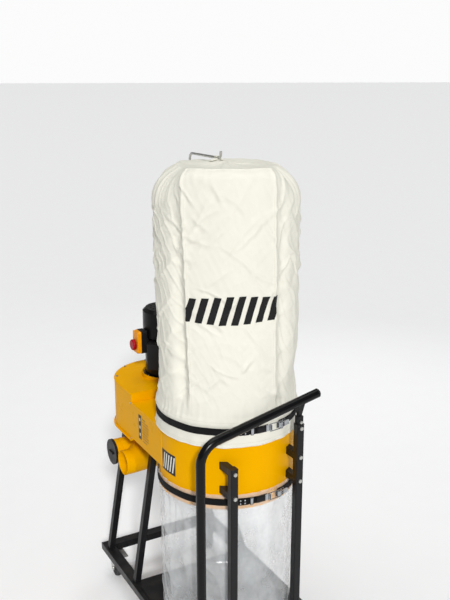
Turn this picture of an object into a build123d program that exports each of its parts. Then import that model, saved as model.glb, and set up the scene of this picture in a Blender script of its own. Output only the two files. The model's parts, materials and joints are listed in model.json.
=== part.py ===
"""Two-bag dust collector on a wheeled base.

A fan with an upright motor blows through a flat duct into a collector ring,
which carries a cloth filter bag above and a clear chip bag below.
Millimetres, +Z up, origin on the floor under the middle of the base.
+X runs from the fan to the ring; the switch and the hose ports face -Y.
"""

import os
from math import cos, radians, sin, tan

from build123d import *

os.makedirs("parts", exist_ok=True)

# ---- Driving dimensions ----
SHEET = 3                     # sheet steel of the housings and the base
GAP = 0.3                     # clearance between bodies that move apart

BASE_L, BASE_W = 948, 546     # footprint of the base frame
RAIL_W, RAIL_H = 44, 30
RAIL_LOW = 110                # underside of the rails, on the casters
RAIL_TOP = RAIL_LOW + RAIL_H
CROSS_RAIL_X = -110            # rail between the fan's stand and the chip bag

HEM = 930                     # height of the filter bag's hem
RING_X = 174                  # axis of the collector ring
RING_R = 250
RING_LOW, RING_TOP = HEM - 235, HEM + 84
BEAD_R = 4

FAN_X, FAN_Y = RING_X - 446, -37
HOUSING_LOW, HOUSING_TOP = HEM - 160, HEM + 32
COVER_TOP = HOUSING_TOP + SHEET
TONGUE_ANGLE, TONGUE_R = -40, 146
OUTLET_R = 212                # spiral radius where the outlet starts
OUTLET_X = RING_X - 305
LIP = 8                       # lip round the housing's floor

DUCT_W, DUCT_H = 120, 150
DUCT_Y = FAN_Y - OUTLET_R + DUCT_W / 2
DUCT_Z = HEM - 1 - DUCT_H / 2
DUCT_WALL = 2

INLET_R = 75
PORT_R, PORT_LENGTH = 50, 35
PORT_SPREAD = 58              # each hose port from the fan's centre plane
INLET_Z = HOUSING_LOW - 130
ELBOW_BEND = 100
ELBOW_END_Y = FAN_Y - ELBOW_BEND
PORT_Y = ELBOW_END_Y - 88

MOTOR_R = 80
MOTOR_TOP = HEM + 320
SHELL_LOW = COVER_TOP + 40
SHELL_TOP = SHELL_LOW + 165
SHAFT_R = 12
BEARING_R, BEARING_H = 24, 12

HANDLE_X = RING_X + 278
HANDLE_R, HANDLE_WALL = 16, 2
HANDLE_SLOPE = 12.65          # degrees above level, rising towards +Y
HANDLE_BEND = 80
HANDLE_END_Y = 203
HANDLE_START_Y = -190         # where the bar runs into the bend
HANDLE_START_Z = HEM + 65
POST_W, POST_WALL = 28, 2
POST_Y = 131
POST_TOP = HEM + 56

BAG_R, BAG_WALL = 252, 3
BAG_TOP = HEM + 930
SHOULDER_Z, SHOULDER_R = HEM + 850, 185
STRAP_H, STRAP_T = 26, 2
UPPER_STRAP_Z = HEM + 56
LOWER_STRAP_Z = RING_LOW + 30
STRAP_R = RING_R + 5.3        # inside of the straps
CHIP_BAG_LOW, CHIP_BAG_TOP = RAIL_TOP + SHEET + 3, RING_LOW + 58

LATCH_ANGLE, HOOK_ANGLE = 15, 3.9
LATCH_R = STRAP_R + STRAP_T + 0.7
LEVER_L = 40
PIN_R = 2
WIRE_R = 1.5

HANGER_X = RING_X - 275
HANGER_R = 4.5
HANGER_Z = BAG_TOP + 10

WHEEL_R, WHEEL_W = 40, 24
AXLE_R = 6
CASTER_X, CASTER_Y = BASE_L / 2 - 62, BASE_W / 2 - 45
TRAIL = 28

SWITCH_W, SWITCH_H = 52, 91
SWITCH_Z = HEM + 190
BUTTON_R = 8


# ---- Helpers ----
def save(piece, name):
    """Label a finished piece and write it."""
    piece.label = name
    export_step(piece, f"parts/{name}.step")


def pipe(x, y, low, high, outer, inner=0.0):
    """Upright round tube, or a rod when inner is 0."""
    with BuildPart() as piece:
        with BuildSketch(Plane((x, y, low))):
            Circle(outer)
            if inner:
                Circle(inner, mode=Mode.SUBTRACT)
        extrude(amount=high - low)
    return piece.part


def block(low, high):
    """Box between two corners."""
    size = [b - a for a, b in zip(low, high)]
    centre = [(a + b) / 2 for a, b in zip(low, high)]
    with BuildPart() as piece:
        with Locations(tuple(centre)):
            Box(*size)
    return piece.part


def swept(path, outer, inner=0.0):
    """Round tube or rod along a path."""
    with BuildPart() as piece:
        with BuildSketch(Plane(path @ 0, z_dir=path % 0)):
            Circle(outer)
            if inner:
                Circle(inner, mode=Mode.SUBTRACT)
        sweep(path=path)
    return piece.part


def facing(x, y, z, angle):
    """Upright plane frame: x runs clockwise round the ring, y points outwards."""
    turn = radians(angle)
    return Plane((x, y, z), x_dir=(sin(turn), -cos(turn), 0), z_dir=(0, 0, 1))


def plate(frame, low, high):
    """Box between two corners of a placed frame."""
    with BuildPart() as piece:
        with BuildSketch(frame.offset(low[2])):
            with Locations(((low[0] + high[0]) / 2, (low[1] + high[1]) / 2)):
                Rectangle(high[0] - low[0], high[1] - low[1])
        extrude(amount=high[2] - low[2])
    return piece.part


def polar(x, y, radius, angle):
    """Point at an angle round an upright axis."""
    turn = radians(angle)
    return (x + radius * cos(turn), y + radius * sin(turn))


# ---- Base frame: folded channel rails, open below ----
def rails(inset, height):
    """Outer rails and the cross rail as one solid."""
    inner_w = BASE_W - 2 * RAIL_W + 2 * inset
    with BuildPart() as plan:
        with BuildSketch(Plane.XY.offset(RAIL_LOW)):
            Rectangle(BASE_L - 2 * inset, BASE_W - 2 * inset)
            Rectangle(BASE_L - 2 * RAIL_W + 2 * inset, inner_w, mode=Mode.SUBTRACT)
            with Locations((CROSS_RAIL_X, 0)):
                Rectangle(RAIL_W - 2 * inset, inner_w)
        extrude(amount=height)
    return plan.part


HANDLE_LEG_Y = HANDLE_START_Y - HANDLE_BEND * (1 - sin(radians(HANDLE_SLOPE)))
SOCKET_H, SOCKET_T = 70, 3     # socket for the handle's leg
with BuildPart() as base_frame:
    add(rails(0, RAIL_H))
    add(rails(SHEET, RAIL_H - SHEET), mode=Mode.SUBTRACT)
    add(pipe(HANDLE_X, HANDLE_LEG_Y, RAIL_TOP, RAIL_TOP + SOCKET_H, HANDLE_R + SOCKET_T, HANDLE_R))
save(base_frame.part, "base_frame")

PLATE_LOW_X, PLATE_HIGH_X = CROSS_RAIL_X + RAIL_W / 2, BASE_L / 2 - RAIL_W - 6
with BuildPart() as base_plate:
    with BuildSketch(Plane.XY.offset(RAIL_TOP)):
        with Locations(((PLATE_LOW_X + PLATE_HIGH_X) / 2, 0)):
            RectangleRounded(PLATE_HIGH_X - PLATE_LOW_X, BASE_W - 40, 12)
    extrude(amount=SHEET)
save(base_plate.part, "base_plate")

# ---- Casters ----
PLATE_T = 3
TOP_HALF_L, TOP_HALF_W = 50, 36
RACE_H = 10                   # swivel race between the top plate and the fork
FORK_TOP = RAIL_LOW - PLATE_T - RACE_H - GAP
CHEEK_Y, CHEEK_T = 17, 3
PEDAL_X, PEDAL_Z, PEDAL_PIN_R = TRAIL + 26, WHEEL_R + 44, 3


def top_plate(x, y):
    """Plate that bolts a caster to the rails."""
    return block((x - TOP_HALF_L, y - TOP_HALF_W, RAIL_LOW - PLATE_T),
                 (x + TOP_HALF_L, y + TOP_HALF_W, RAIL_LOW))


def cheeks(x, y, axle_x, top, with_pedal):
    """Both side plates of a fork, with its axle."""
    rear_x = -PEDAL_X - 6 if with_pedal else -24
    rod_y = y + CHEEK_Y + CHEEK_T + 3
    with BuildPart() as pair:
        for side in (-1, 1):
            face_y = y + side * CHEEK_Y + (CHEEK_T if side > 0 else 0)
            with BuildSketch(Plane((x, face_y, 0), x_dir=(1, 0, 0), z_dir=(0, -1, 0))):
                with BuildLine():
                    Polyline(
                        (24, top), (axle_x - x + 13, WHEEL_R), (axle_x - x - 13, WHEEL_R),
                        (rear_x, PEDAL_Z - 8), (rear_x, top), close=True,
                    )
                make_face()
                with Locations((axle_x - x, WHEEL_R)):
                    Circle(13)
            extrude(amount=CHEEK_T)
        rods = [(axle_x, WHEEL_R, AXLE_R)]
        if with_pedal:
            rods.append((x - PEDAL_X, PEDAL_Z, PEDAL_PIN_R))
        for rod_x, rod_z, rod_r in rods:
            with BuildSketch(Plane((rod_x, rod_y, rod_z), x_dir=(1, 0, 0), z_dir=(0, -1, 0))):
                Circle(rod_r)
            extrude(amount=2 * (rod_y - y))
    return pair.part


with BuildPart() as fixed_forks:
    for caster_y in (-CASTER_Y, CASTER_Y):
        add(top_plate(-CASTER_X, caster_y))
        add(cheeks(-CASTER_X, caster_y, -CASTER_X, RAIL_LOW - PLATE_T, False))
save(fixed_forks.part, "fixed_forks")

with BuildPart() as swivel_plates:
    for caster_y in (-CASTER_Y, CASTER_Y):
        add(top_plate(CASTER_X, caster_y))
        add(pipe(CASTER_X, caster_y, FORK_TOP + GAP, RAIL_LOW - PLATE_T, 27))
        add(pipe(CASTER_X, caster_y, FORK_TOP - 9, FORK_TOP + GAP, 7))
        add(pipe(CASTER_X, caster_y, FORK_TOP - 9, FORK_TOP - 4 - GAP, 10))
save(swivel_plates.part, "swivel_plates")


def wheel(x, y):
    """Rubber-tyred wheel: crowned tread, recessed sides, bored hub."""
    half = WHEEL_W / 2
    with BuildPart() as body:
        with BuildSketch(Plane((x, y, WHEEL_R), x_dir=(0, 1, 0), z_dir=(1, 0, 0))):
            with BuildLine():
                Polyline((-half, WHEEL_R - 4), (-half, 28), (-half + 4, 26), (-half + 4, 16),
                         (-half - 3, 14), (-half - 3, AXLE_R + 0.05), (half + 3, AXLE_R + 0.05),
                         (half + 3, 14), (half - 4, 16), (half - 4, 26), (half, 28),
                         (half, WHEEL_R - 4))
                ThreePointArc((half, WHEEL_R - 4), (0, WHEEL_R), (-half, WHEEL_R - 4))
            make_face()
        revolve(axis=Axis((x, y, WHEEL_R), (0, 1, 0)))
    return body.part


def swivel_fork(y):
    """Turning head of a swivel caster."""
    with BuildPart() as fork:
        add(pipe(CASTER_X, y, FORK_TOP - 4, FORK_TOP, 26))
        add(cheeks(CASTER_X, y, CASTER_X - TRAIL, FORK_TOP, True))
        add(block((CASTER_X - PEDAL_X, y - CHEEK_Y - 1, FORK_TOP - 3),
                  (CASTER_X + 20, y + CHEEK_Y + 1, FORK_TOP)))
        add(pipe(CASTER_X, y, FORK_TOP - 20, FORK_TOP + 1, 7.05), mode=Mode.SUBTRACT)
    return fork.part


def brake_pedal(y):
    """Foot pedal hinged between a fork's cheeks."""
    hinge_x = CASTER_X - PEDAL_X
    half = CHEEK_Y - 1
    with BuildPart() as pedal:
        with BuildSketch(Plane((hinge_x, y + half, PEDAL_Z), x_dir=(1, 0, 0), z_dir=(0, -1, 0))):
            with BuildLine():
                Polyline((0, 5), (-8, 5), (-40, 12), (-41, 8), (-10, 0), (0, -3), close=True)
            make_face()
            Circle(5.5)
            Circle(PEDAL_PIN_R + 0.05, mode=Mode.SUBTRACT)
        extrude(amount=2 * half)
    return pedal.part


for side_name, caster_y in (("left", -CASTER_Y), ("right", CASTER_Y)):
    save(swivel_fork(caster_y), f"swivel_fork_{side_name}")
    save(brake_pedal(caster_y), f"brake_pedal_{side_name}")
    save(wheel(CASTER_X - TRAIL, caster_y), f"front_wheel_{side_name}")
    save(wheel(-CASTER_X, caster_y), f"rear_wheel_{side_name}")

# ---- Collector ring with a bead at each end, and its duct ----
DUCT_LOW = (OUTLET_X, DUCT_Y - DUCT_W / 2, DUCT_Z - DUCT_H / 2)
DUCT_HIGH = (RING_X, DUCT_Y + DUCT_W / 2, DUCT_Z + DUCT_H / 2)
BORE_LOW = tuple(v + DUCT_WALL for v in DUCT_LOW)
BORE_HIGH = (RING_X, DUCT_HIGH[1] - DUCT_WALL, DUCT_HIGH[2] - DUCT_WALL)

with BuildPart() as collector_ring:
    add(pipe(RING_X, 0, RING_LOW, RING_TOP, RING_R, RING_R - DUCT_WALL))
    for bead_z in (RING_LOW + BEAD_R, RING_TOP - BEAD_R):
        with BuildSketch(Plane((RING_X, 0, bead_z), x_dir=(1, 0, 0), z_dir=(0, -1, 0))):
            with Locations((RING_R - 1, 0)):
                Circle(BEAD_R)
        revolve(axis=Axis((RING_X, 0, 0), (0, 0, 1)))
    add(block(BORE_LOW, BORE_HIGH), mode=Mode.SUBTRACT)
save(collector_ring.part, "collector_ring")

with BuildPart() as outlet_duct:
    add(block(DUCT_LOW, DUCT_HIGH))
    add(block((OUTLET_X, BORE_LOW[1], BORE_LOW[2]), BORE_HIGH), mode=Mode.SUBTRACT)
    add(pipe(RING_X, 0, RING_LOW, RING_TOP, RING_R), mode=Mode.SUBTRACT)
save(outlet_duct.part, "outlet_duct")


# ---- Fan housing: a spiral that opens into the duct ----
def spiral_r(angle):
    """Radius of the housing's wall at an angle."""
    return TONGUE_R + (OUTLET_R - TONGUE_R) * (angle - TONGUE_ANGLE) / (270 - TONGUE_ANGLE)


def spiral_body(offset_r, low, high, outlet_x):
    """Solid inside the spiral, its outline moved out by offset_r."""
    turns = [TONGUE_ANGLE + step * (270 - TONGUE_ANGLE) / 10 for step in range(11)]
    points = [polar(FAN_X, FAN_Y, spiral_r(turn) + offset_r, turn) for turn in turns]
    with BuildPart() as body:
        with BuildSketch(Plane.XY.offset(low)):
            with BuildLine():
                Spline(*points)
                Polyline(points[-1], (outlet_x, DUCT_LOW[1] - offset_r),
                         (outlet_x, DUCT_HIGH[1] + offset_r), points[0])
            make_face()
        extrude(amount=high - low)
    return body.part


with BuildPart() as fan_housing:
    add(spiral_body(0, HOUSING_LOW, HOUSING_TOP, OUTLET_X))
    add(spiral_body(LIP, HOUSING_LOW, HOUSING_LOW + SHEET, OUTLET_X))
    add(spiral_body(-SHEET, HOUSING_LOW + SHEET, HOUSING_TOP, OUTLET_X - SHEET), mode=Mode.SUBTRACT)
    add(block((OUTLET_X - 10, BORE_LOW[1], BORE_LOW[2]), BORE_HIGH), mode=Mode.SUBTRACT)
    add(pipe(FAN_X, FAN_Y, HOUSING_LOW, HOUSING_LOW + SHEET, INLET_R - 2), mode=Mode.SUBTRACT)
save(fan_housing.part, "fan_housing")

COLLAR_R, COLLAR_H = 97, 14
with BuildPart() as fan_cover:
    add(spiral_body(0, HOUSING_TOP, COVER_TOP, OUTLET_X))
    add(pipe(FAN_X, FAN_Y, HOUSING_TOP, COVER_TOP, SHAFT_R + 6), mode=Mode.SUBTRACT)
    add(pipe(FAN_X, FAN_Y, COVER_TOP, COVER_TOP + COLLAR_H, COLLAR_R, COLLAR_R - 4))
save(fan_cover.part, "fan_cover")

HEAD_R, HEAD_H = 5, 3.5
SCREW_TURNS = [TONGUE_ANGLE + 16 + step * 34.5 for step in range(9)]
with BuildPart() as housing_screws:
    for turn in SCREW_TURNS:
        head_x, head_y = polar(FAN_X, FAN_Y, spiral_r(turn) - 10, turn)
        add(pipe(head_x, head_y, COVER_TOP, COVER_TOP + HEAD_H, HEAD_R))
    for head_z in (DUCT_Z - DUCT_H / 2 - 2, DUCT_Z + DUCT_H / 2 - 5):
        with BuildSketch(Plane((OUTLET_X - 8, DUCT_LOW[1], head_z), z_dir=(0, -1, 0))):
            Circle(4)
        extrude(amount=3)
save(housing_screws.part, "housing_screws")

# ---- Stand under the fan ----
BAR_W, BAR_Z = 25, HOUSING_LOW - 25
BAR_REACH, BAR_SPREAD = 150, 115
with BuildPart() as fan_stand:
    for side in (-1, 1):
        bar_y = FAN_Y + side * BAR_SPREAD
        add(block((FAN_X - BAR_REACH, bar_y - BAR_W / 2, BAR_Z),
                  (FAN_X + BAR_REACH, bar_y + BAR_W / 2, HOUSING_LOW)))
        for end in (-1, 1):
            foot = (FAN_X + end * 142, side * (BASE_W / 2 - RAIL_W / 2))
            head = (FAN_X + end * (BAR_REACH - BAR_W / 2), bar_y)
            with BuildSketch(Plane.XY.offset(RAIL_TOP)):
                with Locations(foot):
                    Rectangle(BAR_W, BAR_W)
            with BuildSketch(Plane.XY.offset(BAR_Z + 1)):
                with Locations(head):
                    Rectangle(BAR_W, BAR_W)
            loft()
    for end in (-1, 1):
        bar_x = FAN_X + end * (BAR_REACH - BAR_W / 2)
        add(block((bar_x - BAR_W / 2, FAN_Y - BAR_SPREAD, BAR_Z),
                  (bar_x + BAR_W / 2, FAN_Y + BAR_SPREAD, HOUSING_LOW)))
save(fan_stand.part, "fan_stand")

# ---- Inlet: elbow, two-port branch and a cap on one port ----
with BuildPart() as inlet_elbow:
    with BuildLine() as elbow_path:
        drop = Line((FAN_X, FAN_Y, HOUSING_LOW), (FAN_X, FAN_Y, INLET_Z + ELBOW_BEND))
        TangentArc(drop @ 1, (FAN_X, ELBOW_END_Y, INLET_Z), tangent=drop % 1)
    with BuildSketch(Plane((FAN_X, FAN_Y, HOUSING_LOW), z_dir=(0, 0, -1))):
        Circle(INLET_R)
        Circle(INLET_R - 2, mode=Mode.SUBTRACT)
    sweep()
save(inlet_elbow.part, "inlet_elbow")


def port_frame(x, y):
    """Plane across a hose port, facing out."""
    return Plane((x, y, INLET_Z), x_dir=(1, 0, 0), z_dir=(0, -1, 0))


with BuildPart() as inlet_branch:
    for wall, mode in ((0, Mode.ADD), (2, Mode.SUBTRACT)):
        for side in (-1, 1):
            port_x = FAN_X + side * PORT_SPREAD
            with BuildSketch(port_frame(FAN_X, ELBOW_END_Y)):
                Circle(INLET_R - wall)
            with BuildSketch(port_frame(port_x, PORT_Y)):
                Circle(PORT_R - wall)
            loft(mode=mode)
            with BuildSketch(port_frame(port_x, PORT_Y)):
                Circle(PORT_R - wall)
            extrude(amount=PORT_LENGTH, mode=mode)
save(inlet_branch.part, "inlet_branch")

with BuildPart() as port_cap:
    with BuildSketch(port_frame(FAN_X - PORT_SPREAD, PORT_Y + 8 - PORT_LENGTH)):
        Circle(PORT_R + 3)
        Circle(PORT_R + 0.1, mode=Mode.SUBTRACT)
    extrude(amount=8)
    with BuildSketch(port_frame(FAN_X - PORT_SPREAD, PORT_Y - PORT_LENGTH)):
        Circle(PORT_R + 3)
    extrude(amount=3)
    with BuildSketch(port_frame(FAN_X - PORT_SPREAD, PORT_Y - PORT_LENGTH - 3)):
        Rectangle(40, 6)
    extrude(amount=6)
save(port_cap.part, "port_cap")

# ---- Motor ----
LOW_BEARING_Z = COVER_TOP + 16
TOP_BEARING_Z = SHELL_TOP - BEARING_H - 3
with BuildPart() as motor_bell:
    add(pipe(FAN_X, FAN_Y, COVER_TOP, COVER_TOP + 10, MOTOR_R + 8))
    add(pipe(FAN_X, FAN_Y, COVER_TOP, SHELL_LOW, MOTOR_R))
    add(pipe(FAN_X, FAN_Y, LOW_BEARING_Z + BEARING_H, SHELL_LOW, MOTOR_R - 6), mode=Mode.SUBTRACT)
    add(pipe(FAN_X, FAN_Y, LOW_BEARING_Z, LOW_BEARING_Z + BEARING_H, BEARING_R), mode=Mode.SUBTRACT)
    add(pipe(FAN_X, FAN_Y, COVER_TOP, LOW_BEARING_Z, SHAFT_R + 3), mode=Mode.SUBTRACT)
save(motor_bell.part, "motor_bell")

with BuildPart() as motor_shell:
    add(pipe(FAN_X, FAN_Y, SHELL_LOW, SHELL_TOP, MOTOR_R))
    add(pipe(FAN_X, FAN_Y, SHELL_LOW, TOP_BEARING_Z - 6, MOTOR_R - 4), mode=Mode.SUBTRACT)
    add(pipe(FAN_X, FAN_Y, SHELL_LOW, TOP_BEARING_Z + BEARING_H, BEARING_R), mode=Mode.SUBTRACT)
    add(pipe(FAN_X, FAN_Y, SHELL_LOW, SHELL_TOP, SHAFT_R + 2), mode=Mode.SUBTRACT)
save(motor_shell.part, "motor_shell")

COVER_R, COVER_LAP = 87, 35
FAN_COVER_LOW = SHELL_TOP - COVER_LAP
with BuildPart() as motor_fan_cover:
    with BuildSketch(Plane((FAN_X, FAN_Y, 0), x_dir=(1, 0, 0), z_dir=(0, -1, 0))):
        with BuildLine():
            Polyline((COVER_R, FAN_COVER_LOW), (COVER_R, MOTOR_TOP - 12), (COVER_R - 12, MOTOR_TOP),
                     (0, MOTOR_TOP), (0, MOTOR_TOP - 2), (COVER_R - 13, MOTOR_TOP - 2),
                     (COVER_R - 2, MOTOR_TOP - 13), (COVER_R - 2, FAN_COVER_LOW), close=True)
        make_face()
    revolve(axis=Axis((FAN_X, FAN_Y, 0), (0, 0, 1)))
    for slot_r, slot_count in ((22, 6), (38, 10), (54, 14)):
        for step in range(slot_count):
            turn = 360 * step / slot_count
            slot_x, slot_y = polar(FAN_X, FAN_Y, slot_r, turn)
            add(pipe(slot_x, slot_y, MOTOR_TOP - 4, MOTOR_TOP + 1, 4), mode=Mode.SUBTRACT)
    for turn in (30, 150, 270):
        frame = facing(FAN_X, FAN_Y, FAN_COVER_LOW, turn)
        add(plate(frame, (-8, MOTOR_R, 0), (8, COVER_R - 1, 14)))
save(motor_fan_cover.part, "motor_fan_cover")

CORE_LOW, CORE_HIGH = SHELL_LOW + 25, SHELL_LOW + 105
with BuildPart() as stator_core:
    add(pipe(FAN_X, FAN_Y, CORE_LOW, CORE_HIGH, MOTOR_R - 4, 46))
save(stator_core.part, "stator_core")

with BuildPart() as stator_windings:
    for coil_low in (CORE_LOW - 16, CORE_HIGH):
        add(pipe(FAN_X, FAN_Y, coil_low, coil_low + 16, 70, 50))
save(stator_windings.part, "stator_windings")

with BuildPart() as motor_bearings:
    for bearing_z in (LOW_BEARING_Z, TOP_BEARING_Z):
        add(pipe(FAN_X, FAN_Y, bearing_z, bearing_z + BEARING_H, BEARING_R, SHAFT_R + 0.05))
save(motor_bearings.part, "motor_bearings")

with BuildPart() as motor_bolts:
    for turn in (0, 90, 180, 270):
        bolt_x, bolt_y = polar(FAN_X, FAN_Y, MOTOR_R + 4, turn + 10)
        add(pipe(bolt_x, bolt_y, COVER_TOP + 10, COVER_TOP + 14, 3.8))
save(motor_bolts.part, "motor_bolts")

# ---- Rotor: everything that turns with the shaft ----
SHAFT_LOW, SHAFT_HIGH = HOUSING_LOW + 72, SHELL_TOP + 45
with BuildPart() as motor_shaft:
    add(pipe(FAN_X, FAN_Y, SHAFT_LOW, SHAFT_HIGH, SHAFT_R))
save(motor_shaft.part, "motor_shaft")

with BuildPart() as rotor_core:
    add(pipe(FAN_X, FAN_Y, CORE_LOW, CORE_HIGH, 45.2, SHAFT_R))
save(rotor_core.part, "rotor_core")

with BuildPart() as cooling_fan:
    add(pipe(FAN_X, FAN_Y, SHELL_TOP + 12, SHELL_TOP + 40, 22, SHAFT_R))
    add(pipe(FAN_X, FAN_Y, SHELL_TOP + 12, SHELL_TOP + 14, 72, SHAFT_R))
    for step in range(8):
        frame = facing(FAN_X, FAN_Y, SHELL_TOP + 13, 45 * step)
        add(plate(frame, (-1, 20, 0), (1, 72, 24)))
save(cooling_fan.part, "cooling_fan")

IMPELLER_R, BLADE_H = 134, 82
BACK_Z = HOUSING_TOP - 22
with BuildPart() as impeller:
    add(pipe(FAN_X, FAN_Y, BACK_Z, BACK_Z + SHEET, IMPELLER_R, SHAFT_R))
    add(pipe(FAN_X, FAN_Y, SHAFT_LOW + 18, BACK_Z + 14, 28, SHAFT_R))
    for step in range(8):
        turn = 45 * step
        start = polar(FAN_X, FAN_Y, 26, turn)
        middle = polar(FAN_X, FAN_Y, 85, turn - 8)
        end = polar(FAN_X, FAN_Y, IMPELLER_R - 2, turn - 30)
        with BuildSketch(Plane.XY.offset(BACK_Z + 1)):
            with BuildLine():
                blade_line = ThreePointArc(start, middle, end)
                offset(blade_line, amount=1.5)
            make_face()
        extrude(amount=-BLADE_H)
save(impeller.part, "impeller")

with BuildPart() as impeller_nut:
    add(pipe(FAN_X, FAN_Y, SHAFT_LOW + 14, SHAFT_LOW + 18, 24, SHAFT_R))
    with BuildSketch(Plane((FAN_X, FAN_Y, SHAFT_LOW + 2))):
        RegularPolygon(18, 6)
        Circle(SHAFT_R, mode=Mode.SUBTRACT)
    extrude(amount=12)
save(impeller_nut.part, "impeller_nut")

# ---- Terminal box with its cable gland ----
TERMINAL_LOW, TERMINAL_ANGLE = HEM + 91, -41
BOX_FRAME = facing(FAN_X, FAN_Y, TERMINAL_LOW, TERMINAL_ANGLE)
BOX_HALF_W = 40
with BuildPart() as terminal_box:
    add(plate(BOX_FRAME, (-BOX_HALF_W, MOTOR_R - 14, 0), (BOX_HALF_W, MOTOR_R + 42, 104)))
    fillet(terminal_box.edges().filter_by(Axis.Z), radius=6)
    add(pipe(FAN_X, FAN_Y, COVER_TOP, SHELL_TOP, MOTOR_R), mode=Mode.SUBTRACT)
save(terminal_box.part, "terminal_box")

GLAND_START = BOX_FRAME.from_local_coords(Vector(-BOX_HALF_W, MOTOR_R + 20, 30))
with BuildPart() as cable_gland:
    with BuildSketch(Plane(GLAND_START, z_dir=-BOX_FRAME.x_dir)):
        RegularPolygon(12, 6)
    extrude(amount=8)
    with BuildSketch(Plane(GLAND_START - BOX_FRAME.x_dir * 8, z_dir=-BOX_FRAME.x_dir)):
        Circle(9)
    extrude(amount=12, taper=12)
save(cable_gland.part, "cable_gland")

# ---- Switch on the motor's operator side ----
BRACKET_Y = FAN_Y - MOTOR_R - 8
BOX_FACE_Y = BRACKET_Y - 25
FLAP_FACE_Y = BOX_FACE_Y - 16
SWITCH_LOW = SWITCH_Z - SWITCH_H / 2
STOP_Z, START_Z = SWITCH_Z - 10, SWITCH_Z + 24
KNOB_R, KNOB_H = 22, 13


def switch_frame(y, z):
    """Plane facing the operator at a height on the switch."""
    return Plane((FAN_X, y, z), x_dir=(1, 0, 0), z_dir=(0, -1, 0))


with BuildPart() as switch_bracket:
    add(block((FAN_X - 18, BRACKET_Y, SWITCH_LOW + 2),
              (FAN_X + 18, FAN_Y - MOTOR_R + 12, FAN_COVER_LOW - 2)))
    add(pipe(FAN_X, FAN_Y, COVER_TOP, SHELL_TOP, MOTOR_R), mode=Mode.SUBTRACT)
save(switch_bracket.part, "switch_bracket")

with BuildPart() as switch_box:
    with BuildSketch(switch_frame(BRACKET_Y, SWITCH_Z)):
        RectangleRounded(SWITCH_W, SWITCH_H, 5)
    extrude(amount=BRACKET_Y - BOX_FACE_Y)
    for button_z in (STOP_Z, START_Z):
        with BuildSketch(switch_frame(BOX_FACE_Y, button_z)):
            Circle(BUTTON_R + 0.1)
        extrude(amount=-14, mode=Mode.SUBTRACT)
save(switch_box.part, "switch_box")

for button_name, button_z in (("stop_button", STOP_Z), ("start_button", START_Z)):
    with BuildPart() as button:
        with BuildSketch(switch_frame(BOX_FACE_Y + 9, button_z)):
            Circle(BUTTON_R)
        extrude(amount=12)
        chamfer(button.faces().sort_by(Axis.Y)[0].edges(), length=0.8)
    save(button.part, button_name)

with BuildPart() as switch_flap:
    with BuildSketch(switch_frame(BOX_FACE_Y - GAP, SWITCH_Z)):
        RectangleRounded(SWITCH_W, SWITCH_H, 8)
    extrude(amount=BOX_FACE_Y - GAP - FLAP_FACE_Y, taper=8)
    with BuildSketch(switch_frame(BOX_FACE_Y - GAP, SWITCH_Z)):
        RectangleRounded(SWITCH_W - 9, SWITCH_H - 9, 5)
    extrude(amount=BOX_FACE_Y - GAP - FLAP_FACE_Y - 3, mode=Mode.SUBTRACT)
    with BuildSketch(switch_frame(FLAP_FACE_Y - 1, STOP_Z)):
        Circle(BUTTON_R + 0.1)
    extrude(amount=-8, mode=Mode.SUBTRACT)
save(switch_flap.part, "switch_flap")

with BuildPart() as stop_knob:
    with BuildSketch(switch_frame(BOX_FACE_Y - 7.5, STOP_Z)):
        Circle(BUTTON_R)
    extrude(amount=16)
    with BuildSketch(switch_frame(FLAP_FACE_Y - 4, STOP_Z)):
        Circle(KNOB_R)
    extrude(amount=KNOB_H)
    fillet(stop_knob.faces().sort_by(Axis.Y)[0].edges(), radius=5)
save(stop_knob.part, "stop_knob")


# ---- Posts, push handle and bag hanger ----
def post(y, top):
    """Square tube from the base, with two lugs bolted to the ring."""
    side = 1 if y > 0 else -1
    with BuildPart() as tube:
        with BuildSketch(Plane((HANDLE_X, y, RAIL_TOP))):
            RectangleRounded(POST_W, POST_W, 4)
            RectangleRounded(POST_W - 2 * POST_WALL, POST_W - 2 * POST_WALL, 2, mode=Mode.SUBTRACT)
        extrude(amount=top - RAIL_TOP)
        add(block((HANDLE_X - POST_W / 2, y - POST_W / 2 + 1, top - POST_WALL),
                  (HANDLE_X + POST_W / 2, y + POST_W / 2 - 1, top)))
        for lug_z in (RING_LOW + 65, RING_LOW + 155):
            add(block((HANDLE_X - POST_W / 2 - 60, y - 12, lug_z),
                      (HANDLE_X - POST_W / 2 + 1, y + 12, lug_z + 26)))
        add(pipe(RING_X, 0, RAIL_TOP, top, RING_R), mode=Mode.SUBTRACT)
    return tube.part


save(post(POST_Y, POST_TOP), "right_post")
save(post(-POST_Y, HEM - 50), "left_post")

HANDLE_END_Z = HANDLE_START_Z + (HANDLE_END_Y - HANDLE_START_Y) * tan(radians(HANDLE_SLOPE))
BAR_DIRECTION = Vector(0, -cos(radians(HANDLE_SLOPE)), -sin(radians(HANDLE_SLOPE)))
HANDLE_LEG_TOP = HANDLE_START_Z - HANDLE_BEND * cos(radians(HANDLE_SLOPE))
with BuildLine() as handle_path:
    bar = Line((HANDLE_X, HANDLE_END_Y, HANDLE_END_Z), (HANDLE_X, HANDLE_START_Y, HANDLE_START_Z))
    bend = TangentArc(bar @ 1, (HANDLE_X, HANDLE_LEG_Y, HANDLE_LEG_TOP), tangent=bar % 1)
    Line(bend @ 1, (HANDLE_X, HANDLE_LEG_Y, RAIL_TOP))
HANDLE_PATH = handle_path.wires()[0]
with BuildPart() as push_handle:
    add(swept(HANDLE_PATH, HANDLE_R, HANDLE_R - HANDLE_WALL))
save(push_handle.part, "push_handle")

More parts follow.
